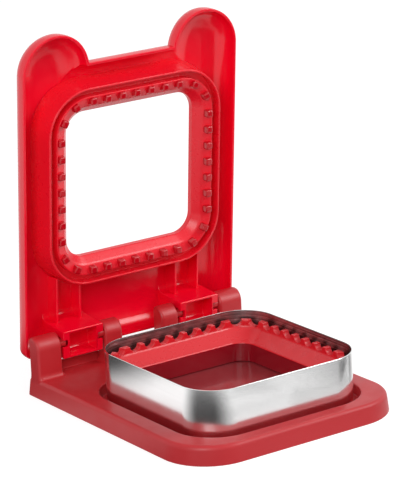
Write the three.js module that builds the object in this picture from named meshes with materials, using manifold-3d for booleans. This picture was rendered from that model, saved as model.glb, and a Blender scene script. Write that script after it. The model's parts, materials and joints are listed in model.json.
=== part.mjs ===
// A sandwich cutter and sealer: a moulded tray with a toothed crimp frame, a loose square steel cutting
// ring that stands in the tray's moat, and a hinged lid with ears whose own frame closes over the ring.
// Millimetres, +Z up, hinge along X, front towards -Y. While it is built, the origin is under the ring's
// centre; the whole part is centred on its own footprint at the end.
import * as THREE from "three";
import { mergeVertices } from "three/addons/utils/BufferGeometryUtils.js";
import Module from "manifold-3d";

const wasm = await Module();
wasm.setup();

// Shared clearances and facets.
const seatGap = 0.3;
const cutOver = 4;
const cornerSteps = 8;
const edgeSteps = 3;
const roundSteps = 24;

// Steel cutting ring: half its outer width, the radius of its round corners, and its top above the table.
const ringHalf = 50;
const ringCorner = 19.5;
const ringTop = 32.3;
const stripThickness = 0.6;

// Moat that the ring stands in, and the plateau inside it.
const moatOutside = 3.7;
const moatInside = 1.8;
const moatFloor = 4;
const moatOuterHalf = ringHalf + moatOutside;
const moatInnerHalf = ringHalf - stripThickness - moatInside;
const wellFloor = 9;

// Tray: its reach past the moat on each side, its corners on the table, and the draft of its sides.
const traySide = 11.9;
const trayFrontReach = 9.8;
const trayHalf = moatOuterHalf + traySide;
const trayFront = -moatOuterHalf - trayFrontReach;
const trayFrontCorner = 26.8;
const trayBackCorner = 3;
const trayTop = 9.9;
const trayDraft = 0.9;
const trayEdgeRound = 0.8;
const wall = 2.2;

// Crimp frame in the tray: tabs with scallops between them, and the slope into the well.
const crimpOuterHalf = moatInnerHalf - seatGap;
const ringProud = 3.7;
const tabTop = ringTop - ringProud;
const tabDepth = 3.7;
const tabFace = 3.6;
const tabInnerHalf = crimpOuterHalf - tabDepth;
const slopeTop = tabTop - tabFace;
const slopeReach = 7.4;
const slopeDrop = 5.4;
const wellLipHalf = tabInnerHalf - slopeReach;
const wellLipHeight = slopeTop - slopeDrop;
const wellLipBevel = 0.4;
const wellHalf = wellLipHalf - wellLipBevel;
const wellCorner = 8.5;
const scallopRadius = 3.1;
const toothPitch = 8.8;
const teethPerSide = 7;
const cornerTeeth = 2;
const toothPathHalf = (crimpOuterHalf + tabInnerHalf) / 2;

// Hinge axis: the shut lid's rim lies just over the ring, and the axis lies below the rim's plane.
const rimOverRing = 0.5;
const rimFromAxis = 6.7;
const axisBehindMoat = 26.42;
const axisY = moatOuterHalf + axisBehindMoat;
const axisZ = ringTop + rimOverRing - rimFromAxis;

// Hinge posts on the tray, two for each knuckle, a low wall between them along the tray's back edge, and the
// pins between post and knuckle.
const postUnderRim = 1.2;
const postAhead = 3.82;
const postBehind = 5.2;
const postTop = ringTop + rimOverRing - postUnderRim;
const postFront = axisY - postAhead;
const postBack = axisY + postBehind;
const trayBehindPost = 2.68;
const trayBack = postBack + trayBehindPost;
const postArc = 6.5;
const postEdge = 2;
const postBackEdge = 2.5;
const outerPostWidth = 14.7;
const outerPostTo = trayHalf - trayDraft;
const outerPostFrom = outerPostTo - outerPostWidth;
const innerPostFrom = 12.4;
const innerPostWidth = 10.8;
const innerPostTo = innerPostFrom + innerPostWidth;
const hingeWallRise = 4.8;
const hingeWallInPost = 0.5;
const pinRadius = 2.3;
const pinInPost = 6;
const pinInKnuckle = 2.4;

// Lid panel, a deep dish: its sides run straight, then turn round into a flat plate. Its depths are measured
// from the front edge of its rim, away from the tray when it is shut.
const openAngle = 85;
const lidInset = 0.2;
const lidHalf = trayHalf - lidInset;
const lidBelowAxis = 8.6;
const lidBottomCorner = 4;
const leastCorner = 0.3;
const lidOverFront = 0.98;
const lidTopEdge = axisY - trayFront + lidOverFront;
const earRise = 17.1;
const earRadius = 20.6;
const earInnerReach = 19.2;
const earInnerFall = 3.5;
const earTop = lidTopEdge + earRise;
const rimWall = 1.5;
const sideDepth = 3;
const insideRound = 8;
const plateWall = 1.9;
const plateRecess = sideDepth + insideRound;
const panelDepth = plateRecess + plateWall;
const windowCentre = axisY;

// Crimp frame on the lid. Its corners are concentric, and a little rounder than the ring's.
const cornerEase = 2;
const channelInside = 1.4;
const channelOutside = 1.6;
const channelDepth = 0.9;
const crestWidth = 1.1;
const crestRise = 4.3;
const crestHalf = ringHalf + channelOutside + crestWidth;
const collarSlope = 2;
const collarFootHalf = crestHalf + collarSlope;
const footLedge = 1.3;
const spigotHalf = collarFootHalf - footLedge;
const spigotWall = 1.6;
const panelOpeningHalf = spigotHalf + seatGap;
const ledgeOverTabs = 0.6;
const ledgeRise = rimOverRing + ringProud - ledgeOverTabs;
const ledgeWidth = 0.8;
const ledgeHalf = ringHalf - stripThickness - channelInside;
const toothBedRise = 1.9;
const toothBedInside = 1;
const toothBedHalf = tabInnerHalf - toothBedInside;
const windowLipReach = 3.1;
const windowLipBevel = 0.5;
const windowLipDepth = 1.4;
const windowLipHalf = toothBedHalf - windowLipReach;
const windowHalf = windowLipHalf - windowLipBevel;
const sleeveWall = 2;
const sleeveDepth = 5.2;
const frameWall = 2;
const pegSize = 4;
const pegEntry = 1.3;
const pegRise = rimOverRing + ringProud + pegEntry;

// Hinge knuckles on the lid: a round-backed trough with a cheek at each end that clips on a pin, hollow
// from behind, and two thin ribs that run up the plate from each knuckle to the crimp frame.
const knuckleGap = 1.3;
const knuckleFrom = innerPostTo + knuckleGap;
const knuckleTo = outerPostFrom - knuckleGap;
const knuckleAbove = 6.7;
const knuckleBelow = 8.2;
const knuckleFront = 3.3;
const knuckleLip = 1.8;
const knuckleBlend = 3;
const cheekWall = 2.7;
const clipMouth = 3.8;
const troughBack = 4.6;
const hollowBelow = 3;
const ribPlaces = [30.1, 44.2];
const ribWall = 1.2;
const ribDepth = 2.6;

const red = { color: 0xc8102e, roughness: 0.3, metalness: 0 };
const material = {
  satinRed: () => new THREE.MeshStandardMaterial({ ...red, color: 0xb8303a, roughness: 0.42 }),
  glossRed: () => new THREE.MeshStandardMaterial(red),
  steel: () => new THREE.MeshStandardMaterial({ color: 0xc9cbcc, roughness: 0.12, metalness: 1 }),
};

// A closed solid from corner places and triangles, turned right side out.
function solidFrom(places, triangles) {
  const mesh = new wasm.Mesh({
    numProp: 3,
    vertProperties: new Float32Array(places),
    triVerts: new Uint32Array(triangles),
  });
  return new wasm.Manifold(mesh);
}

// A closed solid from one of the library's shapes.
function solidOf(geometry) {
  geometry.deleteAttribute("normal");
  geometry.deleteAttribute("uv");
  const merged = mergeVertices(geometry);
  return solidFrom(merged.attributes.position.array, merged.index.array);
}

// A named mesh with flat faces.
function meshOf(name, solid, finish) {
  const { vertProperties, triVerts } = solid.getMesh();
  const geometry = new THREE.BufferGeometry();
  geometry.setAttribute("position", new THREE.BufferAttribute(new Float32Array(vertProperties), 3));
  geometry.setIndex(new THREE.BufferAttribute(new Uint32Array(triVerts), 1));
  const mesh = new THREE.Mesh(geometry, finish());
  mesh.name = name;
  return mesh;
}

// Points of an arc, both ends included.
function arc(x, y, radiusX, radiusY, from, to, steps = cornerSteps) {
  return Array.from({ length: steps + 1 }, (_, i) => {
    const angle = from + ((to - from) * i) / steps;
    return [x + radiusX * Math.cos(angle), y + radiusY * Math.sin(angle)];
  });
}

// A rectangle with round corners, anticlockwise from its lower right corner.
function roundedRectangle({ left, right, low, high, lowRadius, highRadius }) {
  const quarter = Math.PI / 2;
  return [
    ...arc(right - lowRadius, low + lowRadius, lowRadius, lowRadius, -quarter, 0),
    ...arc(right - highRadius, high - highRadius, highRadius, highRadius, 0, quarter),
    ...arc(left + highRadius, high - highRadius, highRadius, highRadius, quarter, 2 * quarter),
    ...arc(left + lowRadius, low + lowRadius, lowRadius, lowRadius, 2 * quarter, 3 * quarter),
  ];
}

// A square with round corners, given by half its width.
function roundedSquare(half, radius) {
  return roundedRectangle({
    left: -half, right: half, low: -half, high: half, lowRadius: radius, highRadius: radius,
  });
}

// A solid through a stack of outlines that have equally many points, each at its own height.
function loft(layers) {
  const count = layers[0].points.length;
  const places = layers.flatMap(({ points, z }) => points.flatMap(([x, y]) => [x, y, z]));
  const triangles = [];
  for (let layer = 0; layer + 1 < layers.length; layer += 1) {
    for (let i = 0; i < count; i += 1) {
      const j = (i + 1) % count;
      const low = layer * count;
      const high = low + count;
      triangles.push(low + i, low + j, high + j, low + i, high + j, high + i);
    }
  }
  const cap = (layer) => THREE.ShapeUtils.triangulateShape(
    layers[layer].points.map(([x, y]) => new THREE.Vector2(x, y)), [],
  );
  const last = layers.length - 1;
  cap(0).forEach(([a, b, c]) => triangles.push(a, c, b));
  cap(last).forEach((face) => triangles.push(...face.map((corner) => corner + last * count)));
  return solidFrom(places, triangles);
}

// A prism over one outline.
function prism(points, low, high) {
  return loft([{ points, z: low }, { points, z: high }]);
}

// A square frame: its section, points of [half width, height, corner radius] listed anticlockwise, carried
// round the four sides.
function squareFrame(section) {
  const outlines = section.map(([half, , radius]) => roundedSquare(half, radius));
  const count = outlines[0].length;
  const places = outlines.flatMap((points, i) => points.flatMap(([x, y]) => [x, y, section[i][1]]));
  const triangles = [];
  for (let side = 0; side < section.length; side += 1) {
    const here = side * count;
    const next = ((side + 1) % section.length) * count;
    for (let i = 0; i < count; i += 1) {
      const j = (i + 1) % count;
      triangles.push(here + i, here + j, next + j, here + i, next + j, next + i);
    }
  }
  return solidFrom(places, triangles);
}

// A solid whose outline, points of [y, z], runs along X between two places.
function alongX(points, from, to) {
  const shape = new THREE.Shape(points.map(([y, z]) => new THREE.Vector2(y, z)));
  const geometry = new THREE.ExtrudeGeometry(shape, { depth: to - from, bevelEnabled: false });
  geometry.applyMatrix4(new THREE.Matrix4().makeBasis(
    new THREE.Vector3(0, 1, 0), new THREE.Vector3(0, 0, 1), new THREE.Vector3(1, 0, 0),
  ));
  return solidOf(geometry.translate(from, 0, 0));
}

// A round bar along X.
function barAlongX(radius, from, to, y, z) {
  const geometry = new THREE.CylinderGeometry(radius, radius, to - from, roundSteps);
  return solidOf(geometry.rotateZ(Math.PI / 2).translate((from + to) / 2, y, z));
}

// A block between two corners.
function block(low, high) {
  const geometry = new THREE.BoxGeometry(high[0] - low[0], high[1] - low[1], high[2] - low[2]);
  const middle = low.map((value, i) => (value + high[i]) / 2);
  return solidOf(geometry.translate(...middle));
}

// The same solid on the other side of the part.
const mirrored = (solid) => solid.mirror([1, 0, 0]);
const onBothSides = (solid) => solid.add(mirrored(solid));

// Places along a square path with round corners, for one side and the corner that follows it, each
// with the direction that points out of the path.
function toothPlaces(half, radius, straightPlaces, placesInCorner) {
  const straight = half - radius;
  const last = straightPlaces[straightPlaces.length - 1];
  const cornerLength = 2 * (straight - last) + (Math.PI / 2) * radius;
  const inCorner = Array.from({ length: placesInCorner }, (_, i) => (
    last + (cornerLength * (i + 1)) / (placesInCorner + 1)
  ));
  return [...straightPlaces, ...inCorner].map((along) => {
    const past = along - straight;
    if (past <= 0) return { x: along, y: half, angle: Math.PI / 2 };
    const angle = Math.PI / 2 - past / radius;
    if (angle <= 0) return { x: half, y: straight - (past - (Math.PI / 2) * radius), angle: 0 };
    return { x: straight + radius * Math.cos(angle), y: straight + radius * Math.sin(angle), angle };
  });
}

// One tool set down at each tooth place on all four sides.
function aroundSquare(tool, places) {
  const solids = [];
  for (let side = 0; side < 4; side += 1) {
    for (const { x, y, angle } of places) {
      const degrees = THREE.MathUtils.radToDeg(angle);
      solids.push(tool.rotate([0, 0, degrees]).translate([x, y, 0]).rotate([0, 0, -90 * side]));
    }
  }
  return solids.reduce((sum, solid) => sum.add(solid));
}

// Tooth places: one in the middle of each side, the rest a pitch apart.
const sidePlaces = Array.from({ length: teethPerSide }, (_, i) => (
  (i - (teethPerSide - 1) / 2) * toothPitch
));

// Tray.

// The tray's outline, drawn in from its footprint.
function trayOutline(inset) {
  return roundedRectangle({
    left: -trayHalf + inset,
    right: trayHalf - inset,
    low: trayFront + inset,
    high: trayBack - inset,
    lowRadius: trayFrontCorner - inset,
    highRadius: Math.max(trayBackCorner - inset, trayEdgeRound),
  });
}

// The moat's corners are concentric with the ring's.
const moatSquare = (half) => roundedSquare(half, half - ringHalf + ringCorner);

// One hinge post: a rounded front over a straight back, with a blind bore for its pin.
function post(from, to, boreFrom, boreTo) {
  const quarter = Math.PI / 2;
  const profile = [
    [postFront, moatFloor],
    [postBack, moatFloor],
    ...arc(postBack - postBackEdge, postTop - postBackEdge, postBackEdge, postBackEdge,
      0, quarter, edgeSteps),
    ...arc(postFront + postArc, postTop - postArc, postArc, postArc, quarter, 2 * quarter),
  ];
  const plan = roundedRectangle({
    left: from, right: to, low: postFront, high: postBack, lowRadius: postEdge, highRadius: postEdge,
  });
  const body = alongX(profile, from, to).intersect(prism(plan, trayTop - wall, postTop + cutOver));
  return body.subtract(barAlongX(pinRadius + seatGap, boreFrom, boreTo, axisY, axisZ));
}

function trayBody() {
  const roundedEdge = arc(
    trayDraft + trayEdgeRound, trayTop - trayEdgeRound, -trayEdgeRound, trayEdgeRound,
    0, Math.PI / 2, edgeSteps,
  );
  const outside = loft([
    { points: trayOutline(0), z: 0 },
    ...roundedEdge.map(([inset, z]) => ({ points: trayOutline(inset), z })),
  ]);
  const underside = prism(trayOutline(wall + trayDraft), -cutOver, trayTop - wall)
    .subtract(prism(moatSquare(moatOuterHalf + wall), -2 * cutOver, trayTop));
  const underMoat = prism(moatSquare(moatOuterHalf + wall), -cutOver, moatFloor - wall);
  const underWell = prism(moatSquare(moatInnerHalf - wall), -cutOver, wellFloor - wall);
  const moat = prism(moatSquare(moatOuterHalf), moatFloor, trayTop + cutOver)
    .subtract(prism(moatSquare(moatInnerHalf), 0, wellFloor));
  const posts = post(outerPostFrom, outerPostTo, outerPostFrom - cutOver, outerPostFrom + pinInPost)
    .add(post(innerPostFrom, innerPostTo, innerPostTo - pinInPost, innerPostTo + cutOver));
  const hingeWall = block(
    [innerPostTo - hingeWallInPost, postBack - hingeWallInPost, trayTop - wall / 2],
    [outerPostFrom + hingeWallInPost, trayBack - trayDraft, trayTop + hingeWallRise],
  );
  return outside
    .subtract(underside)
    .subtract(underMoat)
    .subtract(underWell)
    .subtract(moat)
    .add(onBothSides(posts.add(hingeWall)));
}

// Crimp frame in the tray.

function baseCrimpFrame() {
  const cornerAt = (half) => half - ringHalf + ringCorner;
  const foot = wellFloor + seatGap;
  const section = [
    [crimpOuterHalf, foot, cornerAt(crimpOuterHalf)],
    [crimpOuterHalf, tabTop, cornerAt(crimpOuterHalf)],
    [tabInnerHalf, tabTop, cornerAt(tabInnerHalf)],
    [tabInnerHalf, slopeTop, cornerAt(tabInnerHalf)],
    [wellLipHalf, wellLipHeight, wellCorner],
    [wellHalf, wellLipHeight - wellLipBevel, wellCorner],
    [wellHalf, foot, wellCorner],
    [wellHalf + wall, foot, wellCorner + wall],
    [wellHalf + wall, wellLipHeight - wall, wellCorner + wall],
    [tabInnerHalf, slopeTop - wall, cornerAt(tabInnerHalf)],
    [crimpOuterHalf - wall, slopeTop - wall, cornerAt(crimpOuterHalf - wall)],
    [crimpOuterHalf - wall, foot, cornerAt(crimpOuterHalf - wall)],
  ];
  const reach = crimpOuterHalf - tabInnerHalf;
  const scallop = solidOf(
    new THREE.CylinderGeometry(scallopRadius, scallopRadius, 2 * reach + cutOver, roundSteps)
      .rotateZ(Math.PI / 2)
      .translate(0, 0, tabTop),
  );
  const places = toothPlaces(toothPathHalf, cornerAt(toothPathHalf), sidePlaces, cornerTeeth);
  return squareFrame(section).subtract(aroundSquare(scallop, places));
}

// Steel ring: a closed strip standing on the moat's floor.
function cutterRing() {
  const inner = ringHalf - stripThickness;
  const innerCorner = ringCorner - stripThickness;
  const foot = moatFloor + seatGap;
  return squareFrame([
    [inner, ringTop, innerCorner],
    [inner, foot, innerCorner],
    [ringHalf, foot, ringCorner],
    [ringHalf, ringTop, ringCorner],
  ]);
}

// Lid, drawn lying in its own plane: X along the hinge, Y up the plate from the hinge axis, and Z towards
// the tray side. A depth is measured down from the rim's front edge.
const atDepth = (depth) => -rimFromAxis - depth;

// The lid frame's corners share one centre.
const lidCornerAt = (half) => half - ringHalf + ringCorner + cornerEase;
const lidSquare = (half) => roundedSquare(half, lidCornerAt(half));

// The panel's outline with both ears, drawn in by an inset. The centre of an ear's inner curve stays the
// same fall below the middle edge at every inset.
function lidOutline(inset) {
  const quarter = Math.PI / 2;
  const side = lidHalf - inset;
  const bottomRadius = Math.max(lidBottomCorner - inset, leastCorner);
  const bottomY = -lidBelowAxis + inset + bottomRadius;
  const earX = lidHalf - earRadius;
  const outerReach = earRadius - inset;
  const innerReach = earInnerReach - inset;
  const innerY = lidTopEdge - inset - earInnerFall;
  const innerHeight = earRise + earInnerFall;
  const notch = Math.asin(earInnerFall / innerHeight);
  const rightEar = [
    ...arc(earX, earTop - earRadius, outerReach, outerReach, 0, quarter, 2 * cornerSteps),
    ...arc(earX, innerY, innerReach, innerHeight, quarter, 2 * quarter - notch, 2 * cornerSteps)
      .slice(1),
  ];
  const leftEar = rightEar.map(([x, y]) => [-x, y]).reverse();
  return [
    ...arc(side - bottomRadius, bottomY, bottomRadius, bottomRadius, -quarter, 0),
    ...rightEar,
    ...leftEar,
    ...arc(-side + bottomRadius, bottomY, bottomRadius, bottomRadius, 2 * quarter, 3 * quarter),
  ];
}

// A dish in the panel's outline, from a flat back through a round turn to straight sides.
function dish(inset, turnRadius, front) {
  const turn = arc(inset + turnRadius, sideDepth, -turnRadius, turnRadius, Math.PI / 2, 0);
  return loft([
    ...turn.map(([reach, depth]) => ({ points: lidOutline(reach), z: atDepth(depth) })),
    { points: lidOutline(inset), z: front },
  ]);
}

const panelOutside = (front) => dish(0, insideRound + plateWall, front);

// The hollow behind one knuckle, open at the back of the panel.
function knuckleBack() {
  return block(
    [knuckleFrom + wall, -hollowBelow, atDepth(panelDepth + cutOver)],
    [knuckleTo - wall, knuckleAbove - wall, -troughBack - wall],
  );
}

// One hinge knuckle: its top blends into the plate, its back is a round trough open to the tray side, and
// the eye in each cheek has a mouth a little narrower than the pin, so that it clips on.
function knuckle() {
  const plateFace = atDepth(plateRecess);
  const quarter = Math.PI / 2;
  const outside = [
    [-knuckleBelow, knuckleFront],
    [-knuckleBelow, plateFace - plateWall / 2],
    [knuckleAbove + knuckleBlend, plateFace - plateWall / 2],
    ...arc(knuckleAbove + knuckleBlend, plateFace + knuckleBlend, knuckleBlend, knuckleBlend,
      3 * quarter, 2 * quarter),
    [knuckleAbove, knuckleFront],
  ];
  const middle = (knuckleAbove - knuckleBelow) / 2;
  const troughHeight = (knuckleAbove + knuckleBelow) / 2 - knuckleLip;
  const trough = [
    [middle + troughHeight, knuckleFront + cutOver],
    ...arc(middle, 0, troughHeight, troughBack, 0, -2 * quarter, 2 * cornerSteps),
    [middle - troughHeight, knuckleFront + cutOver],
  ];
  const mouth = block(
    [knuckleFrom - cutOver, -clipMouth / 2, 0],
    [knuckleTo + cutOver, clipMouth / 2, knuckleFront + cutOver],
  );
  return alongX(outside, knuckleFrom, knuckleTo)
    .intersect(panelOutside(knuckleFront + cutOver))
    .subtract(alongX(trough, knuckleFrom + cheekWall, knuckleTo - cheekWall))
    .subtract(barAlongX(pinRadius + seatGap, knuckleFrom - cutOver, knuckleTo + cutOver, 0, 0))
    .subtract(mouth)
    .subtract(knuckleBack());
}

// The two ribs above one knuckle, cut off along the crimp frame's sloping side.
function ribs() {
  const besideFrame = loft([
    { points: lidSquare(collarFootHalf + seatGap), z: atDepth(panelDepth) },
    { points: lidSquare(crestHalf + seatGap), z: atDepth(-crestRise) },
  ]).translate([0, windowCentre, 0]);
  return ribPlaces
    .map((x) => block(
      [x - ribWall / 2, knuckleAbove - wall, atDepth(plateRecess + plateWall / 2)],
      [x + ribWall / 2, windowCentre, atDepth(ribDepth)],
    ))
    .reduce((sum, rib) => sum.add(rib))
    .subtract(besideFrame);
}

function lidPanel() {
  const opening = prism(lidSquare(panelOpeningHalf), atDepth(panelDepth + cutOver), atDepth(-cutOver))
    .translate([0, windowCentre, 0]);
  const knuckleWithRibs = knuckle().add(ribs());
  return panelOutside(atDepth(0))
    .subtract(dish(rimWall, insideRound, atDepth(-cutOver)))
    .subtract(opening)
    .subtract(onBothSides(knuckleBack()))
    .add(onBothSides(knuckleWithRibs));
}

function lidCrimpFrame() {
  const point = (half, depth) => [half, atDepth(depth), lidCornerAt(half)];
  const seat = plateRecess - seatGap;
  const section = [
    point(collarFootHalf, seat),
    point(crestHalf, -crestRise),
    point(crestHalf - crestWidth, -crestRise),
    point(crestHalf - crestWidth, channelDepth),
    point(ledgeHalf, channelDepth),
    point(ledgeHalf, -ledgeRise),
    point(ledgeHalf - ledgeWidth, -ledgeRise),
    point(toothBedHalf, -toothBedRise),
    point(windowLipHalf, windowLipDepth),
    point(windowHalf, windowLipDepth + windowLipBevel),
    point(windowHalf, sleeveDepth),
    point(windowHalf + sleeveWall, sleeveDepth),
    point(windowHalf + sleeveWall, channelDepth + frameWall),
    point(spigotHalf - spigotWall, channelDepth + frameWall),
    point(spigotHalf - spigotWall, panelDepth),
    point(spigotHalf, panelDepth),
    point(spigotHalf, seat),
  ];
  const peg = block(
    [-pegSize / 2, -pegSize / 2, atDepth(channelDepth)],
    [pegSize / 2, pegSize / 2, atDepth(-pegRise)],
  );
  const places = toothPlaces(toothPathHalf, lidCornerAt(toothPathHalf), sidePlaces, cornerTeeth);
  return squareFrame(section).add(aroundSquare(peg, places)).translate([0, windowCentre, 0]);
}

// Assembly: the base group stands on the table, and the lid group turns about the hinge axis.

const base = new THREE.Group();
base.add(meshOf("base_tray", trayBody(), material.satinRed));
base.add(meshOf("base_crimp_frame", baseCrimpFrame(), material.satinRed));
base.add(meshOf("cutter_ring", cutterRing(), material.steel));

const outerPin = barAlongX(
  pinRadius, knuckleTo - pinInKnuckle, outerPostFrom + pinInPost - seatGap, axisY, axisZ,
);
const innerPin = barAlongX(
  pinRadius, innerPostTo - pinInPost + seatGap, knuckleFrom + pinInKnuckle, axisY, axisZ,
);
base.add(meshOf("hinge_pin_outer_left", mirrored(outerPin), material.satinRed));
base.add(meshOf("hinge_pin_inner_left", mirrored(innerPin), material.satinRed));
base.add(meshOf("hinge_pin_inner_right", innerPin, material.satinRed));
base.add(meshOf("hinge_pin_outer_right", outerPin, material.satinRed));

const lid = new THREE.Group();
lid.add(meshOf("lid_panel", lidPanel(), material.glossRed));
lid.add(meshOf("lid_crimp_frame", lidCrimpFrame(), material.glossRed));
lid.position.set(0, axisY, axisZ);
lid.rotation.x = Math.PI - THREE.MathUtils.degToRad(openAngle);

const sandwichCutter = new THREE.Group();
sandwichCutter.add(base, lid);
const footprint = new THREE.Box3().setFromObject(sandwichCutter, true).getCenter(new THREE.Vector3());
sandwichCutter.position.set(-footprint.x, -footprint.y, 0);

export default sandwichCutter;
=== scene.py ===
import json
import math

import bmesh
import bpy
from mathutils import Matrix, Vector


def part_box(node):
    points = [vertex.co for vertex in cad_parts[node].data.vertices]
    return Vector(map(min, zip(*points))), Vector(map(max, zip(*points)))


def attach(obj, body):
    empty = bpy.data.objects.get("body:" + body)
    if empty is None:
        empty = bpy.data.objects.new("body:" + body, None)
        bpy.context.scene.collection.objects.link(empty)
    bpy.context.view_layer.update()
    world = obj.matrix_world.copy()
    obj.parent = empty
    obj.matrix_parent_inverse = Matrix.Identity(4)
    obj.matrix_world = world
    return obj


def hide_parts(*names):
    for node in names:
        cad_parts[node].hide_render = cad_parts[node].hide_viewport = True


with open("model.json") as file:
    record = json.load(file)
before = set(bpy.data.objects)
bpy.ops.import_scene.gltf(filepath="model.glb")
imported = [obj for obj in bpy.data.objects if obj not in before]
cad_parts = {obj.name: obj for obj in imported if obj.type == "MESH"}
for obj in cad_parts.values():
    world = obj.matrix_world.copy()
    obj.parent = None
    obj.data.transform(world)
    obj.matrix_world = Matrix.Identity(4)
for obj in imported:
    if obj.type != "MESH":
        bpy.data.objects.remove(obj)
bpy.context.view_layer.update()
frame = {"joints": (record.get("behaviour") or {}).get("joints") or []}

# The steel cutting ring: one strip of rolled stainless sheet, bent to a square with round corners and
# butt-welded, then polished. It stands loose in the tray's moat, and its top edge is the cutting edge.

mm = 0.001
ring_low, ring_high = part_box("cutter_ring")
ring_middle = (ring_low.y + ring_high.y) / 2
ring_half, ring_corner, ring_strip, ring_lip = 50 * mm, 19.5 * mm, 0.6 * mm, 0.14 * mm


def start_mesh(name):
    """An empty mesh object, open in edit mode, whose points will know their order in an outline."""
    bpy.ops.object.select_all(action="DESELECT")
    bpy.ops.mesh.primitive_plane_add(size=mm)
    piece = bpy.context.object
    piece.name = piece.data.name = name
    bpy.ops.object.mode_set(mode="EDIT")
    bpy.ops.mesh.select_mode(type="EDGE")
    bpy.ops.mesh.select_all(action="SELECT")
    bpy.ops.mesh.delete(type="VERT")
    bmesh.from_edit_mesh(piece.data).verts.layers.int.new("order")
    return piece


def lay(points):
    """Moves the points of the selected outline to new places, in their order."""
    mesh = bmesh.from_edit_mesh(bpy.context.object.data)
    order = mesh.verts.layers.int["order"]
    for point in mesh.verts:
        if point.select:
            point.co = points[point[order]]
    bmesh.update_edit_mesh(bpy.context.object.data)


def skin(outlines, ends="filled"):
    """Draws the first outline and extrudes it to each of the others in turn."""
    bpy.ops.mesh.select_all(action="DESELECT")
    bpy.ops.mesh.primitive_circle_add(
        vertices=len(outlines[0]), radius=mm, fill_type="NGON" if ends == "filled" else "NOTHING"
    )
    mesh = bmesh.from_edit_mesh(bpy.context.object.data)
    order = mesh.verts.layers.int["order"]
    walked = [next(point for point in mesh.verts if point.select)]
    while len(walked) < len(outlines[0]):
        beside = [edge.other_vert(walked[-1]) for edge in walked[-1].link_edges]
        walked.append(next(point for point in beside if point not in walked[-2:]))
    for number, point in enumerate(walked):
        point[order] = number
    lay(outlines[0])
    for outline in outlines[1:] + (outlines[:1] if ends == "joined" else []):
        bpy.ops.mesh.extrude_region_move()
        lay(outline)


def arc_points(x, y, reach_x, reach_y, start, end, steps):
    """Points round an arc, both ends included, with its angles in degrees."""
    return [
        (x + reach_x * math.cos(turn), y + reach_y * math.sin(turn))
        for turn in (math.radians(start + (end - start) * step / steps) for step in range(steps + 1))
    ]


def rounded_rectangle(left, right, front, back, height, front_corner, back_corner, steps):
    """The outline of a rectangle with round corners."""
    near, far = front_corner, back_corner
    points = [
        *arc_points(right - near, front + near, near, near, -90, 0, steps),
        *arc_points(right - far, back - far, far, far, 0, 90, steps),
        *arc_points(left + far, back - far, far, far, 90, 180, steps),
        *arc_points(left + near, front + near, near, near, 180, 270, steps),
    ]
    return [Vector((x, y, height)) for x, y in points]


def rounded_square(half, corner, height, middle, steps=12):
    """The outline of a square with round corners, whose middle is at x = 0."""
    return rounded_rectangle(-half, half, middle - half, middle + half, height, corner, corner, steps)


def pick(piece):
    """Selects one piece, and nothing else."""
    bpy.ops.object.select_all(action="DESELECT")
    piece.select_set(True)
    bpy.context.view_layer.objects.active = piece


def smooth_shape(piece, smooth=35):
    """Shades a shape smooth across its soft edges, and keeps its flat faces flat."""
    pick(piece)
    bpy.ops.object.shade_smooth_by_angle(angle=math.radians(smooth))
    flat = piece.modifiers.new("flat faces", "WEIGHTED_NORMAL")
    flat.keep_sharp = True
    flat.weight = 100
    bpy.ops.object.modifier_apply(modifier=flat.name)


def finish_mesh(piece, smooth=35):
    """Closes edit mode on a finished shape, with its faces pointing out and smooth across soft edges."""
    bpy.ops.mesh.select_all(action="SELECT")
    bpy.ops.mesh.remove_doubles(threshold=0.001 * mm)
    bpy.ops.mesh.normals_make_consistent(inside=False)
    bpy.ops.object.mode_set(mode="OBJECT")
    smooth_shape(piece, smooth)
    return piece


def dress(piece, *materials):
    """Gives a piece its materials. The first one covers it all."""
    piece.data.materials.clear()
    for material in materials:
        piece.data.materials.append(material)


def node(tree, kind, values=None):
    """A new shader node, with some of its inputs set."""
    made = tree.nodes.new("ShaderNode" + kind)
    for socket, value in (values or {}).items():
        made.inputs[socket].default_value = value
    return made


def wire(tree, *pairs):
    """Joins sockets, each pair from an output to an input."""
    for here, there in pairs:
        tree.links.new(here, there)


def node_group(name, inputs, outputs):
    """A new shader node group with named inputs and outputs, and the two nodes that hold them."""
    group = bpy.data.node_groups.new(name, "ShaderNodeTree")
    for way, sockets in (("INPUT", inputs), ("OUTPUT", outputs)):
        for socket, kind in sockets.items():
            group.interface.new_socket(name=socket, in_out=way, socket_type="NodeSocket" + kind)
    return group, group.nodes.new("NodeGroupInput"), group.nodes.new("NodeGroupOutput")


def rolled_strip_group():
    """Fine lines rolled into steel sheet along its length, and faint smudges from handling."""
    group, given, out = node_group(
        "rolled steel",
        {"Place": "Vector", "Line depth": "Float"},
        {"Lines": "Float", "Smudges": "Float", "Normal": "Vector"},
    )
    along, across = 12, 5200
    stretch = node(group, "Mapping", {"Scale": (along, along, across)})
    lines = node(group, "TexNoise", {"Scale": 1, "Detail": 3})
    smudges = node(group, "TexNoise", {"Scale": 60, "Detail": 2})
    bump = node(group, "Bump", {"Distance": 0.01 * mm})
    wire(
        group,
        (given.outputs["Place"], stretch.inputs["Vector"]),
        (stretch.outputs["Vector"], lines.inputs["Vector"]),
        (given.outputs["Place"], smudges.inputs["Vector"]),
        (lines.outputs["Fac"], bump.inputs["Height"]),
        (given.outputs["Line depth"], bump.inputs["Strength"]),
        (lines.outputs["Fac"], out.inputs["Lines"]),
        (smudges.outputs["Fac"], out.inputs["Smudges"]),
        (bump.outputs["Normal"], out.inputs["Normal"]),
    )
    return group


rolled_strip = rolled_strip_group()


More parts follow.
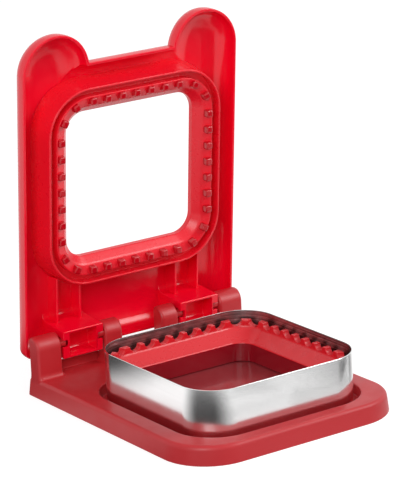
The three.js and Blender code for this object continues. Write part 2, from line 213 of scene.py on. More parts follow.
def rolled_steel(name, tones, roughness, line_depth):
    """Rolled stainless steel, between two tones of grey and two degrees of roughness."""
    steel = bpy.data.materials.new(name)
    steel.use_nodes = True
    tree = steel.node_tree
    shader = tree.nodes["Principled BSDF"]
    shader.inputs["Metallic"].default_value = 1
    place = node(tree, "TexCoord")
    sheet = node(tree, "Group")
    sheet.node_tree = rolled_strip
    sheet.inputs["Line depth"].default_value = line_depth
    tone = node(
        tree, "MapRange", {"From Min": 0.3, "From Max": 0.7, "To Min": tones[0], "To Max": tones[1]}
    )
    gloss = node(tree, "MapRange", {"To Min": roughness[0], "To Max": roughness[1]})
    wire(
        tree,
        (place.outputs["Object"], sheet.inputs["Place"]),
        (sheet.outputs["Lines"], tone.inputs["Value"]),
        (sheet.outputs["Smudges"], gloss.inputs["Value"]),
        (tone.outputs["Result"], shader.inputs["Base Color"]),
        (gloss.outputs["Result"], shader.inputs["Roughness"]),
        (sheet.outputs["Normal"], shader.inputs["Normal"]),
    )
    return steel


cutting_ring = start_mesh("cutting_ring")
ring_section = (
    (ring_half, ring_low.z),
    (ring_half, ring_high.z - ring_lip),
    (ring_half - ring_lip, ring_high.z),
    (ring_half - ring_strip + ring_lip, ring_high.z),
    (ring_half - ring_strip, ring_high.z - ring_lip),
    (ring_half - ring_strip, ring_low.z),
)
skin(
    [
        rounded_square(half, half - ring_half + ring_corner, height, ring_middle, steps=24)
        for half, height in ring_section
    ],
    ends="joined",
)
finish_mesh(cutting_ring, smooth=20)
dress(
    cutting_ring,
    rolled_steel("polished_steel", tones=(0.8, 0.88), roughness=(0.12, 0.2), line_depth=0.05),
    rolled_steel("mill_steel_painted_shade", tones=(0.06, 0.62), roughness=(0.26, 0.4), line_depth=0.35),
)
# The inside of the strip keeps the mill's rougher finish, and is painted a far darker, streaky grey than
# steel has: painted shade and painted reflections inside the ring.
for face in cutting_ring.data.polygons:
    outwards = Vector((face.center.x, face.center.y - ring_middle)).dot(face.normal.xy)
    if outwards < -0.5 * ring_corner:
        face.material_index = 1
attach(cutting_ring, "base")
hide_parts("cutter_ring")

# The tray: one satin red moulding, hollow from below. It has an apron, the moat that the ring stands in,
# the floor of the well, and four hinge posts along its back edge, with a low wall within each pair.

tray_low, tray_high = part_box("base_tray")
corner_centre = ring_half - ring_corner
tray_front_corner, tray_back_corner, least_corner = 26.8 * mm, 3 * mm, 0.6 * mm
tray_top, edge_round, draft = 9.9 * mm, 2.4 * mm, 0.9 * mm
skirt_wall, foot_bevel = 3.1 * mm, 0.3 * mm
under_well, under_plate, under_moat = 6.8 * mm, 7.7 * mm, 1.8 * mm
under_moat_in, under_moat_out = 45.4 * mm, 55.9 * mm
moat_in, moat_out, moat_floor, moat_round = 47.6 * mm, 53.7 * mm, 4 * mm, 0.8 * mm
plate_half, well_half, well_height = 55.6 * mm, 46 * mm, 9 * mm


def quarter_turn(steps):
    """The angles of a quarter turn, in even steps from 0."""
    return [math.radians(90 * step / steps) for step in range(steps + 1)]


def ease(section):
    """Rounds the corners of a section. Each of its points ends with the length that its round takes."""
    steps = 3
    eased = []
    for i, (*place, length) in enumerate(section):
        here = Vector(place)
        if not length:
            eased.append(here)
            continue
        ends = []
        for there in (section[i - 1], section[(i + 1) % len(section)]):
            way = Vector(there[:-1]) - here
            ends.append(here + way * (length / way.xy.length))
        for step in range(steps + 1):
            t = step / steps
            eased.append(ends[0] * (1 - t) ** 2 + here * 2 * t * (1 - t) + ends[1] * t**2)
    return eased


def tray_outline(inset, height):
    """The tray's outline at a height, drawn in from its footprint."""
    return rounded_rectangle(
        tray_low.x + inset,
        tray_high.x - inset,
        tray_low.y + inset,
        tray_high.y - inset,
        height,
        tray_front_corner - inset,
        max(tray_back_corner - inset, least_corner),
        steps=12,
    )


def moat_outline(half, height):
    """A square round the ring's middle, whose corners have the same centres as the ring's."""
    return rounded_square(half, half - corner_centre, height, ring_middle)


tray = start_mesh("tray")
underneath = (
    (moat_outline, under_moat_in, under_well),
    (moat_outline, under_moat_in, under_moat),
    (moat_outline, under_moat_out, under_moat),
    (moat_outline, under_moat_out, under_plate),
    (tray_outline, skirt_wall, under_plate),
    (tray_outline, skirt_wall, 0),
    (tray_outline, foot_bevel, 0),
    (tray_outline, 0, foot_bevel),
)
side = [
    (tray_outline, draft + edge_round * (1 - math.cos(turn)), tray_top - edge_round * (1 - math.sin(turn)))
    for turn in quarter_turn(5)
]
moat_section = (
    (plate_half, tray_top, 0),
    (moat_out, tray_top, moat_round),
    (moat_out, moat_floor, moat_round),
    (moat_in, moat_floor, moat_round),
    (moat_in, well_height, moat_round / 2),
    (well_half, well_height, 0),
)
moat = [(moat_outline, half, height) for half, height in ease(moat_section)]
skin([outline(*sizes) for outline, *sizes in (*underneath, *side, *moat)])

hinge = Vector(frame["joints"][0]["pos_m"])
post_front, post_back, tray_back = hinge.y - 3.82 * mm, hinge.y + 5.2 * mm, tray_high.y - draft
post_top, post_corner, fillet, fillet_rise = 31.6 * mm, 1.6 * mm, 2 * mm, 3.2 * mm
front_round, back_round, side_round = 6.45 * mm, 2.45 * mm, 1.3 * mm
corner_share = 0.42
inner_post, outer_post = (12.4 * mm, 23.2 * mm), (50 * mm, 64.7 * mm)


def drawn_in(radius, height):
    """How far the round edge at a post's top has drawn the post in at a height."""
    return radius - math.sqrt(max(radius**2 - max(height - post_top + radius, 0) ** 2, 0))


def post(left, right, flare_left, flare_right):
    """One hinge post: a round front and top, a softer back, and a fillet where it leaves the tray."""
    foot = [
        (tray_top + fillet_rise * (1 - math.cos(turn)), fillet * (1 - math.sin(turn)))
        for turn in quarter_turn(6)
    ]
    arch = [(post_top - front_round * (1 - math.sin(turn)), 0) for turn in quarter_turn(15)]
    levels = []
    for height, flare in ((tray_top - edge_round, fillet), *foot, *arch):
        front, back = post_front + drawn_in(front_round, height), post_back - drawn_in(back_round, height)
        inset = drawn_in(side_round, height)
        corner = min(post_corner + flare, corner_share * (back - front))
        levels.append(
            rounded_rectangle(
                left + inset - flare * flare_left,
                right - inset + flare * flare_right,
                front - flare,
                back + (tray_back - post_back) * flare / fillet,
                height,
                corner,
                corner,
                steps=5,
            )
        )
    skin(levels)


for sign in (1, -1):
    for (near, far), far_flare in ((inner_post, 1), (outer_post, 0)):
        (left, flare_left), (right, flare_right) = sorted(((near * sign, 1), (far * sign, far_flare)))
        post(left, right, flare_left, flare_right)

wall_ends, wall_front, wall_rise = (22.7 * mm, 50.5 * mm), hinge.y + 4.7 * mm, 4.8 * mm
wall_root, wall_foot, wall_edge, wall_corner = 1 * mm, 0.9 * mm, 0.4 * mm, 0.1 * mm
# Each level of a low wall: how far its front and back are drawn in, and its height above the tray.
wall_levels = (
    (-wall_foot, 0, -wall_root),
    (-wall_foot, 0, 0),
    (-0.3 * wall_foot, 0, 0.3 * wall_foot),
    (0, 0, wall_foot),
    (0, 0, wall_rise - wall_edge),
    (wall_edge / 4, wall_edge / 4, wall_rise - wall_edge / 4),
    (wall_edge, wall_edge, wall_rise),
)
for sign in (1, -1):
    ends = sorted(end * sign for end in wall_ends)
    corners = (wall_corner, wall_corner)
    skin(
        [
            rounded_rectangle(*ends, wall_front + front, tray_back - back, tray_top + rise, *corners, steps=1)
            for front, back, rise in wall_levels
        ]
    )
finish_mesh(tray)


def moulded_skin_group():
    """A moulded surface: faint waviness from the mould, fine grain, and slow drifts of tone."""
    group, given, out = node_group(
        "moulded skin",
        {
            "Place": "Vector",
            "Colour": "Color",
            "Drift colour": "Color",
            "Grain depth": "Float",
            "Grain scale": "Float",
            "Least roughness": "Float",
            "Most roughness": "Float",
        },
        {"Colour": "Color", "Roughness": "Float", "Normal": "Vector"},
    )
    drift = node(group, "TexNoise", {"Scale": 28, "Detail": 2})
    mix = node(group, "Mix")
    mix.data_type = "RGBA"
    grain = node(group, "TexNoise", {"Detail": 2})
    scuffs = node(group, "TexNoise", {"Scale": 140, "Detail": 4})
    gloss = node(group, "MapRange", {"From Min": 0.35, "From Max": 0.65})
    bump = node(group, "Bump", {"Distance": 0.05 * mm})
    colours = [socket for socket in mix.inputs if socket.type == "RGBA"]
    blended = next(socket for socket in mix.outputs if socket.type == "RGBA")
    wire(
        group,
        (given.outputs["Place"], drift.inputs["Vector"]),
        (given.outputs["Place"], grain.inputs["Vector"]),
        (given.outputs["Place"], scuffs.inputs["Vector"]),
        (given.outputs["Grain scale"], grain.inputs["Scale"]),
        (drift.outputs["Fac"], mix.inputs["Factor"]),
        (given.outputs["Colour"], colours[0]),
        (given.outputs["Drift colour"], colours[1]),
        (scuffs.outputs["Fac"], gloss.inputs["Value"]),
        (given.outputs["Least roughness"], gloss.inputs["To Min"]),
        (given.outputs["Most roughness"], gloss.inputs["To Max"]),
        (grain.outputs["Fac"], bump.inputs["Height"]),
        (given.outputs["Grain depth"], bump.inputs["Strength"]),
        (blended, out.inputs["Colour"]),
        (gloss.outputs["Result"], out.inputs["Roughness"]),
        (bump.outputs["Normal"], out.inputs["Normal"]),
    )
    return group


moulded_skin = moulded_skin_group()


def red_plastic(name, colour, drift, grain, roughness, coat=0):
    """Red moulded plastic: two near tones, the grain's depth and scale, and a range of roughness."""
    plastic = bpy.data.materials.new(name)
    plastic.use_nodes = True
    tree = plastic.node_tree
    shader = tree.nodes["Principled BSDF"]
    shader.inputs["IOR"].default_value = 1.5
    shader.inputs["Coat Weight"].default_value = coat
    shader.inputs["Coat Roughness"].default_value = 0.06
    place = node(tree, "TexCoord")
    moulded = node(tree, "Group")
    moulded.node_tree = moulded_skin
    moulded.inputs["Colour"].default_value = (*colour, 1)
    moulded.inputs["Drift colour"].default_value = (*drift, 1)
    moulded.inputs["Grain depth"].default_value = grain[0]
    moulded.inputs["Grain scale"].default_value = grain[1]
    moulded.inputs["Least roughness"].default_value = roughness[0]
    moulded.inputs["Most roughness"].default_value = roughness[1]
    wire(
        tree,
        (place.outputs["Object"], moulded.inputs["Place"]),
        (moulded.outputs["Colour"], shader.inputs["Base Color"]),
        (moulded.outputs["Roughness"], shader.inputs["Roughness"]),
        (moulded.outputs["Normal"], shader.inputs["Normal"]),
    )
    return plastic


satin_red = red_plastic(
    "satin_red",
    colour=(0.47, 0.012, 0.018),
    drift=(0.51, 0.016, 0.022),
    grain=(0.12, 1800),
    roughness=(0.38, 0.46),
)
# The well's floor is the tray's own plastic painted darker and greyer: painted shade in the deep well, and a
# painted grey reflection of the white that it mirrors through the lid's window.
well_floor_painted_shade = red_plastic(
    "well_floor_painted_shade",
    colour=(0.26, 0.03, 0.036),
    drift=(0.3, 0.036, 0.042),
    grain=(0.02, 700),
    roughness=(0.2, 0.26),
    coat=0.5,
)
dress(tray, satin_red, well_floor_painted_shade)
# The painted shade goes on the faces of the well's floor.
for face in tray.data.polygons:
    across = max(abs(face.center.x), abs(face.center.y - ring_middle))
    in_the_well = across < well_half + 0.5 * mm and face.center.z > well_height - 0.1 * mm
    if in_the_well and face.normal.z > 0.5:
        face.material_index = 1
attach(tray, "base")
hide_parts("base_tray")

# The toothed frame in the tray: a square of tabs with a scallop between each two, which crimps the
# bread, and a slope down into the well. Moulded in the same red, and glossier than the tray.

tab_out, tab_in, tab_top, tab_foot, tab_round = 47.3 * mm, 43.6 * mm, 28.6 * mm, 25 * mm, 0.5 * mm
well_wall, well_wall_corner, well_wall_top, frame_foot = 35.8 * mm, 8.4 * mm, 19.1 * mm, 9.3 * mm
under_tabs_out, under_tabs, under_slope_in, under_slope = 45.1 * mm, 22.8 * mm, 38 * mm, 17.4 * mm
under_slope_corner = 10.7 * mm
tooth_pitch, scallop_radius, scallop_length = 8.8 * mm, 3.1 * mm, 8 * mm


def soften_edges(piece, width, steps=2):
    """Rounds every sharp edge of a finished shape, as a mould does."""
    pick(piece)
    bevel = piece.modifiers.new("soft edges", "BEVEL")
    bevel.width = width
    bevel.segments = steps
    bevel.limit_method = "ANGLE"
    bevel.angle_limit = math.radians(40)
    bevel.use_clamp_overlap = False
    bevel.miter_outer = "MITER_ARC"
    bpy.ops.object.modifier_apply(modifier=bevel.name)
    smooth_shape(piece)


def cut(piece, cutter):
    """Takes one shape out of another, and throws the cutter away."""
    pick(piece)
    taken = piece.modifiers.new("cut", "BOOLEAN")
    taken.operation = "DIFFERENCE"
    taken.object = cutter
    taken.solver = "MANIFOLD"
    bpy.ops.object.modifier_apply(modifier=taken.name)
    bpy.data.objects.remove(cutter)


def tooth_places(half, corner):
    """Where the teeth stand: seven on each side of a square, and two round each corner."""
    straight = half - corner
    side_places = [tooth_pitch * step for step in range(-3, 4)]
    corner_length = 2 * (straight - side_places[-1]) + corner * math.pi / 2
    places = []
    for along in [*side_places, *(side_places[-1] + corner_length * share / 3 for share in (1, 2))]:
        past = along - straight
        way = min(max(math.pi / 2 - past / corner, 0), math.pi / 2)
        x = min(along, straight) + corner * math.cos(way) if past > 0 else along
        y = straight + corner * math.sin(way) if past > 0 else half
        if past > corner * math.pi / 2:
            y = straight - (past - corner * math.pi / 2)
        places.append((Vector((x, y, 0)), way))
    return [
        (Matrix.Rotation(-quarter * math.pi / 2, 3, "Z") @ place, way - quarter * math.pi / 2)
        for quarter in range(4)
        for place, way in places
    ]


teeth_section = (
    (tab_out, frame_foot, tab_out - corner_centre, 0),
    (tab_out, tab_top, tab_out - corner_centre, tab_round),
    (tab_in, tab_top, tab_in - corner_centre, tab_round),
    (tab_in, tab_foot, tab_in - corner_centre, 1.1 * mm),
    (well_wall + 0.4 * mm, well_wall_top + 0.5 * mm, well_wall_corner + 0.1 * mm, 0),
    (well_wall, well_wall_top, well_wall_corner, 0.4 * mm),
    (well_wall, frame_foot, well_wall_corner, 0),
    (under_slope_in, frame_foot, under_slope_corner, 0),
    (under_slope_in, under_slope, under_slope_corner, 0),
    (tab_in, under_tabs, tab_in - corner_centre, 0),
    (under_tabs_out, under_tabs, under_tabs_out - corner_centre, 0),
    (under_tabs_out, frame_foot, under_tabs_out - corner_centre, 0),
)
tray_teeth = start_mesh("tray_teeth")
skin(
    [rounded_square(half, corner, height, ring_middle) for half, height, corner in ease(teeth_section)],
    ends="joined",
)
finish_mesh(tray_teeth)
scallops = start_mesh("scallops")
tab_middle = (tab_out + tab_in) / 2
for place, way in tooth_places(tab_middle, tab_middle - corner_centre):
    bpy.ops.mesh.primitive_cylinder_add(
        vertices=32,
        radius=scallop_radius,
        depth=scallop_length,
        location=place + Vector((0, ring_middle, tab_top)),
        rotation=(0, math.pi / 2, way),
    )
finish_mesh(scallops)
cut(tray_teeth, scallops)
soften_edges(tray_teeth, 0.3 * mm)
teeth_red = red_plastic(
    "teeth_red",
    colour=(0.66, 0.01, 0.018),
    drift=(0.7, 0.014, 0.024),
    grain=(0.06, 1400),
    roughness=(0.24, 0.32),
)
# The wall down into the well is polished, and painted far darker than the frame's red: painted shade in the
# well.
polished_well_painted_shade = red_plastic(
    "polished_well_painted_shade",
    colour=(0.24, 0.003, 0.01),
    drift=(0.28, 0.004, 0.012),
    grain=(0.02, 700),
    roughness=(0.05, 0.09),
    coat=1,
)
dress(tray_teeth, teeth_red, polished_well_painted_shade)
# The painted shade goes on the faces of the wall inside the well.
for face in tray_teeth.data.polygons:
    across = max(abs(face.center.x), abs(face.center.y - ring_middle))
    if across < well_wall + 0.2 * mm and face.center.z < well_wall_top - 0.1 * mm:
        face.material_index = 1
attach(tray_teeth, "base")
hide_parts("base_crimp_frame")

# The hinge pins: four short round stubs of the tray's own plastic, one out of each post. The lid's
# knuckles clip on them.

pin_low, pin_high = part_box("hinge_pin_outer_left")


def copy_piece(piece, name):
    """A copy of a finished piece, with its own mesh."""
    twin = piece.copy()
    twin.data = piece.data.copy()
    twin.name = twin.data.name = name
    bpy.context.scene.collection.objects.link(twin)
    return twin


def settle(piece, place):
    """Takes a piece to its place and keeps the place in its mesh, so that its object is at the origin."""
    pick(piece)
    piece.matrix_world = place
    bpy.ops.object.transform_apply(location=True, rotation=True, scale=True)


first_pin = start_mesh("pin")
bpy.ops.mesh.primitive_cylinder_add(
    vertices=40,
    radius=(pin_high.z - pin_low.z) / 2,
    depth=pin_high.x - pin_low.x,
    location=(0, 0, 0),
    rotation=(0, math.pi / 2, 0),
)
finish_mesh(first_pin)
soften_edges(first_pin, 0.4 * mm, steps=3)
dress(first_pin, satin_red)
for which in ("outer_left", "inner_left", "inner_right", "outer_right"):
    low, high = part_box("hinge_pin_" + which)
    pin = copy_piece(first_pin, "pin_" + which)
    settle(pin, Matrix.Translation((low + high) / 2))
    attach(pin, "base")
    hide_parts("hinge_pin_" + which)
bpy.data.objects.remove(first_pin)

# The lid: a deep glossy dish with two round ears, a knuckle over each pair of pins, and two thin ribs
# above each knuckle. One injection moulding. It is drawn flat, with the hinge's axis at the origin.

lid_half, lid_top_edge, lid_low_edge, lid_corner = 65.4 * mm, 144.6 * mm, -8.6 * mm, 4 * mm
ear_top, ear_reach, ear_inner_reach, ear_fall = 161.7 * mm, 20.6 * mm, 19.2 * mm, 3.5 * mm
side_depth, inside_round, inside_spread = 3 * mm, 8 * mm, 13.5 * mm
plate_wall, rim_wall, rim_round, rim_bevel = 1.9 * mm, 1.5 * mm, 0.45 * mm, 0.13 * mm
outside_round = inside_round + plate_wall
panel_depth = side_depth + outside_round
rim_from_axis, window_up, window_half = 6.7 * mm, 80.12 * mm, 53.7 * mm
lid_corner_centre = corner_centre - 2 * mm
collar_foot, seat_gap = 54.7 * mm, 0.3 * mm
knuckle_near, knuckle_far, knuckle_face = 24.5 * mm, 48.7 * mm, 3.3 * mm
knuckle_above, knuckle_below = 6.7 * mm, 8.2 * mm
degrees_open = 95


def at_depth(depth):
    """The height, in the lid's own plane, of a depth behind the rim's front edge."""
    return -rim_from_axis - depth


def lid_outline(inset, depth):
    """The lid's outline with both ears, drawn in by an inset."""
    corner = max(lid_corner - inset, 0.3 * mm)
    low = lid_low_edge + inset + corner
    ear_x, reach, inner_reach = lid_half - ear_reach, ear_reach - inset, ear_inner_reach - inset
    tall = ear_top - lid_top_edge + ear_fall
    notch = math.degrees(math.asin(ear_fall / tall))
    right_side = [
        *arc_points(lid_half - inset - corner, low, corner, corner, -90, 0, 6),
        *arc_points(ear_x, ear_top - ear_reach, reach, reach, 0, 90, 24),
        *arc_points(ear_x, lid_top_edge - inset - ear_fall, inner_reach, tall, 90, 180 - notch, 24)[1:],
    ]
    left_side = [(-x, y) for x, y in reversed(right_side)]
    return [Vector((x, y, at_depth(depth))) for x, y in right_side + left_side]


def lid_square(half, depth):
    """A square round the lid's window, at a depth."""
    return rounded_square(half, half - lid_corner_centre, at_depth(depth), window_up)


outside = [
    (outside_round * (1 - math.cos(turn)), side_depth + outside_round * math.sin(turn))
    for turn in reversed(quarter_turn(10))
]
rim_edge = ((0, rim_round), (rim_bevel, rim_bevel), (rim_round, 0))
rim = (*rim_edge, *((rim_wall - inset, depth) for inset, depth in reversed(rim_edge)))
inside = [
    (rim_wall + inside_spread * (1 - math.cos(turn)), side_depth + inside_round * math.sin(turn))
    for turn in quarter_turn(10)
]
lid_dish = start_mesh("lid_dish")
skin([lid_outline(inset, depth) for inset, depth in (*outside, *rim, *inside)])
finish_mesh(lid_dish)
opening = start_mesh("opening")
skin([lid_square(window_half, depth) for depth in (panel_depth + 4 * mm, 0)])
cut(lid_dish, finish_mesh(opening))


def bar_along_x(points, start, end):
    """A bar along X with a section of (up the lid, height) points."""
    skin([[Vector((x, up, height)) for up, height in points] for x in (start, end)])


def add_box(middle, size):
    """Adds a box to the mesh that is open in edit mode."""
    bpy.ops.mesh.select_all(action="DESELECT")
    bpy.ops.mesh.primitive_cube_add(size=1, location=middle)
    bpy.ops.transform.resize(value=size, center_override=middle)


def knuckle(sign):
    """One knuckle: a block with a pocket that is open to the tray, and a blind eye in each end."""
    start, end = knuckle_near * sign, knuckle_far * sign
    plate, blend, tuck = at_depth(panel_depth - plate_wall), 3.4 * mm, 0.2 * mm
    round_back = [
        (
            tuck - knuckle_below + outside_round * (1 - math.cos(turn)),
            at_depth(side_depth + (outside_round - 2 * tuck) * math.sin(turn)),
        )
        for turn in quarter_turn(10)
    ]
    block = start_mesh("knuckle")
    bar_along_x(
        [
            (knuckle_above, knuckle_face),
            *arc_points(knuckle_above + blend, plate + blend, blend, blend, 180, 270, 8),
            (knuckle_above + blend, plate - plate_wall / 2),
            *reversed(round_back),
            (-knuckle_below, knuckle_face),
        ],
        start,
        end,
    )
    finish_mesh(block)
    lip, pocket_floor, bend, end_wall, clear = 1.3 * mm, -4.9 * mm, 2.2 * mm, 3.9 * mm, 4 * mm
    low, high = lip - knuckle_below, knuckle_above - lip
    pocket = start_mesh("pocket")
    bar_along_x(
        [
            (low, knuckle_face + clear),
            *arc_points(low + bend, pocket_floor + bend, bend, bend, 180, 270, 8),
            *arc_points(high - 2 * bend, pocket_floor + 2 * bend, 2 * bend, 2 * bend, 270, 360, 12),
            (high, knuckle_face + clear),
        ],
        start + end_wall * sign,
        end - end_wall * sign,
    )
    cut(block, finish_mesh(pocket))
    eye_radius, eye_depth, mouth_width, mouth_reach = 2.6 * mm, 2.9 * mm, 3.8 * mm, 8 * mm
    for place in (start, end):
        eye = start_mesh("eye")
        bpy.ops.mesh.primitive_cylinder_add(
            vertices=40,
            radius=eye_radius,
            depth=2 * eye_depth,
            location=(place, 0, 0),
            rotation=(0, math.pi / 2, 0),
        )
        cut(block, finish_mesh(eye))
        mouth = start_mesh("mouth")
        add_box((place, 0, mouth_reach / 2), (2 * eye_depth, mouth_width, mouth_reach))
        cut(block, finish_mesh(mouth))
    soften_edges(block, 0.35 * mm)
    return block


def rib_pair(sign):
    """The two thin ribs above one knuckle, which run up to the collar round the window."""
    rib_places, half_width, overlap = (30.1 * mm, 44.2 * mm), 0.6 * mm, 1 * mm
    rib_front, rib_back = at_depth(2.6 * mm), at_depth(panel_depth - overlap)
    ribs = start_mesh("ribs")
    for place in rib_places:
        reach, past = collar_foot - lid_corner_centre, max(place - lid_corner_centre, 0)
        top = window_up - lid_corner_centre - seat_gap - math.sqrt(reach**2 - past**2)
        bar_along_x(
            [
                (knuckle_above - overlap, rib_back),
                (top - 0.2 * mm, rib_back),
                (top + 1 * mm, rib_front),
                (knuckle_above - overlap, rib_front),
            ],
            (place - half_width) * sign,
            (place + half_width) * sign,
        )
    finish_mesh(ribs)
    soften_edges(ribs, 0.3 * mm)
    return ribs


def hollows():
    """The hollows behind the knuckles, which open through the back of the dish."""
    middle_up, middle_height, size = 0.75 * mm, -16.8 * mm, (19.8 * mm, 7.5 * mm, 20 * mm)
    cutter = start_mesh("hollows")
    for sign in (1, -1):
        middle_x = (knuckle_near + knuckle_far) / 2 * sign
        add_box((middle_x, middle_up, middle_height), size)
    return finish_mesh(cutter)


def join(pieces):
    """Makes several shapes one piece, under the first one's name."""
    pick(pieces[0])
    for piece in pieces:
        piece.select_set(True)
    bpy.ops.object.join()
    return pieces[0]


def stand_up(piece):
    """Turns a piece drawn in the lid's own plane to where the open lid stands."""
    settle(piece, Matrix.Translation(hinge) @ Matrix.Rotation(math.radians(degrees_open), 4, "X"))


knuckles = [knuckle(sign) for sign in (1, -1)]
for shape in (lid_dish, *knuckles):
    cut(shape, hollows())
    smooth_shape(shape)
lid_dish = join([lid_dish, *knuckles, *(rib_pair(sign) for sign in (1, -1))])
stand_up(lid_dish)
gloss_red = red_plastic(
    "gloss_red",
    colour=(0.84, 0.0008, 0.018),
    drift=(0.88, 0.0012, 0.022),
    grain=(0.02, 900),
    roughness=(0.17, 0.22),
)
dress(lid_dish, gloss_red)
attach(lid_dish, "lid")
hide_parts("lid_panel")

# The lid's toothed frame: a collar round the window, with a crest outside, the channel that the ring's
# edge enters, a bed that leans in, and 36 pegs that close into the tray's scallops. One red moulding.

crest_out, crest_in, crest_top, crest_round = 52.7 * mm, 51.6 * mm, -4.3 * mm, 0.45 * mm
channel_in, channel_floor, channel_round = 48 * mm, 0.9 * mm, 0.5 * mm
fence_in, fence_top, fence_round = 47.2 * mm, -3.6 * mm, 0.35 * mm
bed_in, bed_top, bed_round = 42.6 * mm, -1.9 * mm, 0.8 * mm
inner_half, inner_top, inner_back, inner_wall = 39 * mm, 2 * mm, 5.2 * mm, 2 * mm
frame_back, collar_out, collar_in, collar_round = 2.9 * mm, 53.4 * mm, 51.8 * mm, 0.3 * mm
foot_seat = panel_depth - plate_wall - seat_gap
peg_half, peg_width, peg_length, peg_tip = 45.45 * mm, 4.2 * mm, 6.4 * mm, -5.5 * mm
peg_taper, peg_round = 0.9, 0.8 * mm
lid_teeth_section = (
    (collar_foot, foot_seat, 0),
    (crest_out, crest_top, crest_round),
    (crest_in, crest_top, crest_round),
    (crest_in, channel_floor, channel_round),
    (channel_in, channel_floor, channel_round),
    (channel_in, fence_top, fence_round),
    (fence_in, fence_top, fence_round),
    (bed_in, bed_top, bed_round),
    (inner_half + 0.5 * mm, inner_top - 0.6 * mm, 0),
    (inner_half, inner_top, 0.3 * mm),
    (inner_half, inner_back, 0.4 * mm),
    (inner_half + inner_wall, inner_back, 0.4 * mm),
    (inner_half + inner_wall, frame_back, 0),
    (collar_in, frame_back, 0),
    (collar_in, panel_depth, collar_round),
    (collar_out, panel_depth, collar_round),
    (collar_out, foot_seat, 0),
)
lid_teeth = start_mesh("lid_teeth")
skin([lid_square(half, depth) for half, depth in ease(lid_teeth_section)], ends="joined")
finish_mesh(lid_teeth)
lid_teeth_red = red_plastic(
    "lid_teeth_red",
    colour=(0.8, 0.006, 0.02),
    drift=(0.84, 0.008, 0.024),
    grain=(0.03, 1400),
    roughness=(0.26, 0.3),
)
dress(lid_teeth, lid_teeth_red)


def choose(wanted):
    """Selects the points that pass a test, and nothing else."""
    bpy.ops.mesh.select_mode(type="VERT")
    bpy.ops.mesh.select_all(action="DESELECT")
    mesh = bmesh.from_edit_mesh(bpy.context.object.data)
    for point in mesh.verts:
        point.select = wanted(point.co)
    bmesh.update_edit_mesh(bpy.context.object.data)


first_peg = start_mesh("peg")
add_box((0, 0, 0), (peg_width, peg_width, peg_length))
choose(lambda spot: spot.z > 0)
bpy.ops.transform.resize(value=(peg_taper, peg_taper, 1), center_override=(0, 0, 0))
finish_mesh(first_peg)
soften_edges(first_peg, peg_round, steps=3)
# The pegs are the frame's own plastic, painted darker than its red: painted shade and painted dark
# reflections on the pegs.
peg_red_painted_shade = red_plastic(
    "peg_red_painted_shade",
    colour=(0.5, 0.001, 0.008),
    drift=(0.54, 0.0015, 0.01),
    grain=(0.03, 1400),
    roughness=(0.12, 0.18),
)
dress(first_peg, peg_red_painted_shade)
pegs = []
peg_seat = Vector((0, window_up, at_depth(peg_tip) - peg_length / 2))
for place, way in tooth_places(peg_half, peg_half - lid_corner_centre):
    pegs.append(copy_piece(first_peg, "peg"))
    settle(pegs[-1], Matrix.Translation(place + peg_seat) @ Matrix.Rotation(way, 4, "Z"))
bpy.data.objects.remove(first_peg)
lid_teeth = join([lid_teeth, *pegs])
stand_up(lid_teeth)
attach(lid_teeth, "lid")
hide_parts("lid_crimp_frame")

# Studio: a white floor and surroundings, two soft lamps, and the camera at the photograph's angle. Black
# and grey cards, which only reflections show, darken parts of what the steel and the gloss mirror.

white, near_black = (1, 1, 1, 1), (0.004, 0.004, 0.004, 1)


def seen_directly(tree):
    """A value that is 1 for the camera and for reflections, and 0 for light that falls on the object."""
    rays = node(tree, "LightPath")
    seen = node(tree, "Math")
    seen.operation = "MAXIMUM"
    wire(
        tree,
        (rays.outputs["Is Camera Ray"], seen.inputs[0]),
        (rays.outputs["Is Glossy Ray"], seen.inputs[1]),
    )
    return seen.outputs["Value"]


def white_floor():
    """White paper. The camera and reflections see it white, less the object's shadow."""
    paper = bpy.data.materials.new("white_paper")
    paper.use_nodes = True
    tree = paper.node_tree
    shader = tree.nodes["Principled BSDF"]
    shader.inputs["Base Color"].default_value = (0.5, 0.5, 0.5, 1)
    shader.inputs["Roughness"].default_value = 0.9
    shader.inputs["Specular IOR Level"].default_value = 0
    paper_white = node(tree, "Emission", {"Color": (0.72, 0.72, 0.72, 1)})
    dark = node(tree, "Emission", {"Strength": 0})
    either, both = node(tree, "MixShader"), node(tree, "AddShader")
    wire(
        tree,
        (seen_directly(tree), either.inputs[0]),
        (dark.outputs["Emission"], either.inputs[1]),
        (paper_white.outputs["Emission"], either.inputs[2]),
        (shader.outputs["BSDF"], both.inputs[0]),
        (either.outputs["Shader"], both.inputs[1]),
        (both.outputs["Shader"], tree.nodes["Material Output"].inputs["Surface"]),
    )
    return paper


bpy.ops.object.select_all(action="DESELECT")
bpy.ops.mesh.primitive_plane_add(size=30)
floor = bpy.context.object
floor.name = "floor"
dress(floor, white_floor())

world = bpy.data.worlds.new("studio")
bpy.context.scene.world = world
world.use_nodes = True
sky = world.node_tree.nodes["Background"]
sky.inputs["Color"].default_value = white
sky.inputs["Strength"].default_value = 0.5
backdrop = node(world.node_tree, "Background", {"Color": white, "Strength": 1})
sky_or_backdrop = node(world.node_tree, "MixShader")
wire(
    world.node_tree,
    (seen_directly(world.node_tree), sky_or_backdrop.inputs[0]),
    (sky.outputs["Background"], sky_or_backdrop.inputs[1]),
    (backdrop.outputs["Background"], sky_or_backdrop.inputs[2]),
    (sky_or_backdrop.outputs["Shader"], world.node_tree.nodes["World Output"].inputs["Surface"]),
)

black = bpy.data.materials.new("black_card")
black.use_nodes = True
black.node_tree.nodes["Principled BSDF"].inputs["Base Color"].default_value = near_black
black.node_tree.nodes["Principled BSDF"].inputs["Specular IOR Level"].default_value = 0


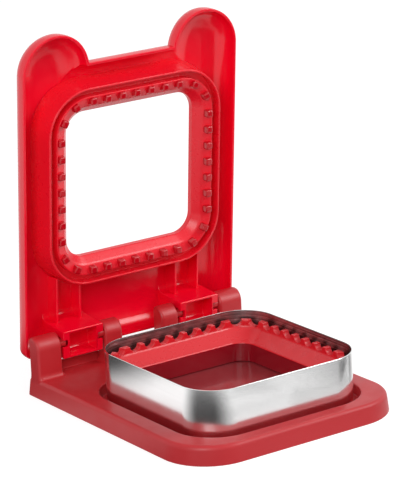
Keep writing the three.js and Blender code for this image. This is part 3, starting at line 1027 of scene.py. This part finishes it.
def set_card(name, place, material):
    """A card that only reflections show, two units wide and high before it is put in its place."""
    bpy.ops.object.select_all(action="DESELECT")
    bpy.ops.mesh.primitive_plane_add(size=2)
    card = bpy.context.object
    card.name = name
    settle(card, place)
    dress(card, material)
    card.visible_camera = card.visible_diffuse = card.visible_shadow = False


def black_card(name, place, aim, width, height):
    """An upright black card."""
    turn = (Vector(aim) - Vector(place)).to_track_quat("Z", "Y").to_matrix().to_4x4()
    size = Matrix.Diagonal((width / 2, height / 2, 1, 1))
    set_card(name, Matrix.Translation(place) @ turn @ size, black)


def grey_card(name, place, reach_x, reach_y, turn, depth):
    """A card laid on the floor, grey in its middle and clear at its edge."""
    grey = bpy.data.materials.new(name)
    grey.use_nodes = True
    tree = grey.node_tree
    tree.nodes.remove(tree.nodes["Principled BSDF"])
    where = node(tree, "TexCoord")
    centred = node(
        tree,
        "Mapping",
        {"Location": (*place, 0), "Rotation": (0, 0, math.radians(turn)), "Scale": (reach_x, reach_y, 1)},
    )
    centred.vector_type = "TEXTURE"
    fade = node(tree, "TexGradient")
    fade.gradient_type = "SPHERICAL"
    amount = node(tree, "MapRange", {"From Max": 0.75, "To Max": depth})
    amount.interpolation_type = "SMOOTHSTEP"
    clear = node(tree, "BsdfTransparent")
    dark = node(tree, "BsdfDiffuse", {"Color": (0.01, 0.01, 0.01, 1)})
    either = node(tree, "MixShader")
    wire(
        tree,
        (where.outputs["Object"], centred.inputs["Vector"]),
        (centred.outputs["Vector"], fade.inputs["Vector"]),
        (fade.outputs["Fac"], amount.inputs["Value"]),
        (amount.outputs["Result"], either.inputs[0]),
        (clear.outputs["BSDF"], either.inputs[1]),
        (dark.outputs["BSDF"], either.inputs[2]),
        (either.outputs["Shader"], tree.nodes["Material Output"].inputs["Surface"]),
    )
    spin, size = Matrix.Rotation(math.radians(turn), 4, "Z"), Matrix.Diagonal((reach_x, reach_y, 1, 1))
    set_card(name, Matrix.Translation((*place, 0.5 * mm)) @ spin @ size, grey)


grey_card("card_front_left", (-0.096, -0.086), reach_x=0.112, reach_y=0.084, turn=-50, depth=0.95)
grey_card("card_back_left", (-0.095, 0.103), reach_x=0.078, reach_y=0.078, turn=0, depth=0.95)
grey_card("card_right", (0.122, -0.1), reach_x=0.085, reach_y=0.095, turn=0, depth=0.85)
grey_card("card_front", (0, -0.135), reach_x=0.18, reach_y=0.07, turn=0, depth=0.46)
black_card("card_for_lid", (0.12, -0.14, 0.07), aim=(0.12, 0, 0.07), width=0.2, height=0.11)
black_card("card_by_camera", (-0.25, -0.11, 0.19), aim=(0, 0.06, 0.19), width=0.3, height=0.23)


def soft_lamp(name, place, aim, size, power):
    """A softbox that points at a place."""
    lamp = bpy.data.lights.new(name, "AREA")
    lamp.size = size
    lamp.energy = power
    holder = bpy.data.objects.new(name, lamp)
    bpy.context.scene.collection.objects.link(holder)
    holder.location = place
    holder.rotation_euler = (Vector(aim) - Vector(place)).to_track_quat("-Z", "Y").to_euler()


soft_lamp("lamp_left", (-1.0, -0.8, 0.7), aim=(0, 0, 0.06), size=0.7, power=9)
soft_lamp("lamp_right", (0.95, -0.75, 0.85), aim=(0, 0, 0.06), size=0.7, power=10)

# The camera's turns are in radians, and its distance and the shift of its target in millimetres.
swing, tip, roll = 0.605, 0.287, -0.040
distance, shift_right, shift_up = 1381.9, 11.34, 18.38
photo_width, focal_pixels, film_width = 401, 2713.98, 36
right = Vector((math.cos(swing), -math.sin(swing), 0))
ahead = Vector((math.sin(swing) * math.cos(tip), math.cos(swing) * math.cos(tip), -math.sin(tip)))
above = right.cross(ahead)
middle = Vector((0, 40 * mm + ring_middle, 60 * mm))
target = middle + right * shift_right * mm + above * shift_up * mm
rolled_right = right * math.cos(roll) + above * math.sin(roll)
rolled_above = above * math.cos(roll) - right * math.sin(roll)
view = bpy.data.cameras.new("camera")
view.sensor_fit = "HORIZONTAL"
view.sensor_width = film_width
view.lens = focal_pixels * film_width / photo_width
view.clip_start = 0.05
camera = bpy.data.objects.new("camera", view)
bpy.context.scene.collection.objects.link(camera)
facing = Matrix((rolled_right, rolled_above, -ahead)).transposed().to_4x4()
camera.matrix_world = Matrix.Translation(target - ahead * distance * mm) @ facing
bpy.context.scene.camera = camera
bpy.context.scene.view_settings.view_transform = "Standard"
